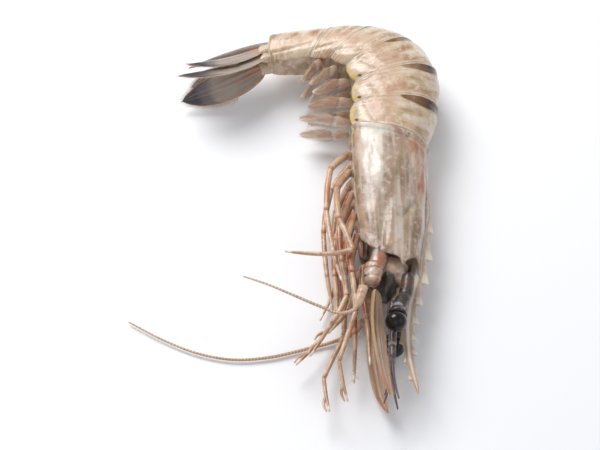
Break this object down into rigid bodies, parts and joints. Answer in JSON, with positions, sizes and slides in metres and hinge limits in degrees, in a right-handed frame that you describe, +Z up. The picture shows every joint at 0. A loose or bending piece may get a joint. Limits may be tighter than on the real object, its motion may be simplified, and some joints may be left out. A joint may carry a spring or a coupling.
{
  "type": "raw king prawn",
  "caption": "Raw king prawn with head and shell on, lying on its side with the tail curled, legs folded forward and feelers broken short.",
  "frame": {"origin": "on the surface the prawn lies on, under the middle of its bounding box", "axes": "-Y towards the head and rostrum tip, +X towards the back at the carapace, +Z up, which is the prawn's right side"},
  "size_m": [0.0992, 0.1406, 0.0248],
  "materials": {
    "head_shell": "wet, thin, slightly translucent shell, pink-grey brown with a dark red and orange patch",
    "shell": "wet, thin, slightly translucent shell, tan with dark brown bands",
    "tail_fan": "wet, translucent grey blades with a dark blue-black tip and pink-orange ribs",
    "eye": "glossy black cornea on a dark stalk",
    "feeler_stem": "dark purple-grey, wet",
    "flesh": "moist cream-pink flesh and thin skin",
    "feeler": "tan, finely ringed, satin",
    "scale": "thin tan scale with a yellow edge",
    "swimmeret": "pale translucent pink-grey",
    "limb": "cream-pink with orange-red joints, wet"
  },
  "bodies": {
    "root": {"antennule_left": "feeler_stem", "antennule_right": "feeler_stem", "breast_plate": "flesh", "carapace": "head_shell", "eye_left": "eye", "eye_right": "eye", "fan_inner_left": "tail_fan", "fan_inner_right": "tail_fan", "fan_outer_left": "tail_fan", "fan_outer_right": "tail_fan", "feeler_base_left": "flesh", "feeler_base_right": "flesh", "feeler_left": "feeler", "feeler_right": "feeler", "head": "flesh", "jaw_foot_left": "limb", "jaw_foot_right": "limb", "leg_1_left": "limb", "leg_1_right": "limb", "leg_2_left": "limb", "leg_2_right": "limb", "leg_3_left": "limb", "leg_3_right": "limb", "leg_4_left": "limb", "leg_4_right": "limb", "leg_5_left": "limb", "leg_5_right": "limb", "ring_1": "shell", "ring_2": "shell", "ring_3": "shell", "ring_4": "shell", "ring_5": "shell", "ring_6": "shell", "scale_left": "scale", "scale_right": "scale", "swimmeret_1_left": "swimmeret", "swimmeret_1_right": "swimmeret", "swimmeret_2_left": "swimmeret", "swimmeret_2_right": "swimmeret", "swimmeret_3_left": "swimmeret", "swimmeret_3_right": "swimmeret", "swimmeret_4_left": "swimmeret", "swimmeret_4_right": "swimmeret", "swimmeret_5_left": "swimmeret", "swimmeret_5_right": "swimmeret", "telson": "shell"}
  },
  "joints": []
}
